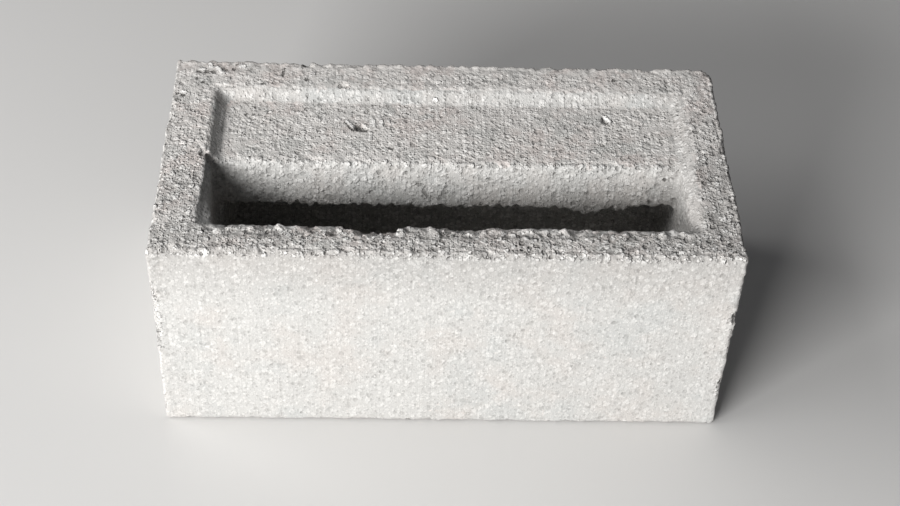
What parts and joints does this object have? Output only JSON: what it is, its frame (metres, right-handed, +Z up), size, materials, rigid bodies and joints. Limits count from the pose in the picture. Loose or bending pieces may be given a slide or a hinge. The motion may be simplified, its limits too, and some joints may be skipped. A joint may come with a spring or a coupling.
{
  "type": "ventilation block",
  "caption": "Rectangular cast concrete ventilation block: a frame with a bevelled mouth, a full length slat behind it and a through slot beside the slat.",
  "frame": {"origin": "centre of the underside, the face it rests on", "axes": "+Z up out of the mouth, +X along the slat, +Y towards the long wall that the slat springs from; the slot lies on the -Y side"},
  "size_m": [0.3968, 0.2018, 0.17],
  "materials": {
    "concrete": "rough"
  },
  "bodies": {
    "root": {"vent_block": "concrete"}
  },
  "joints": []
}
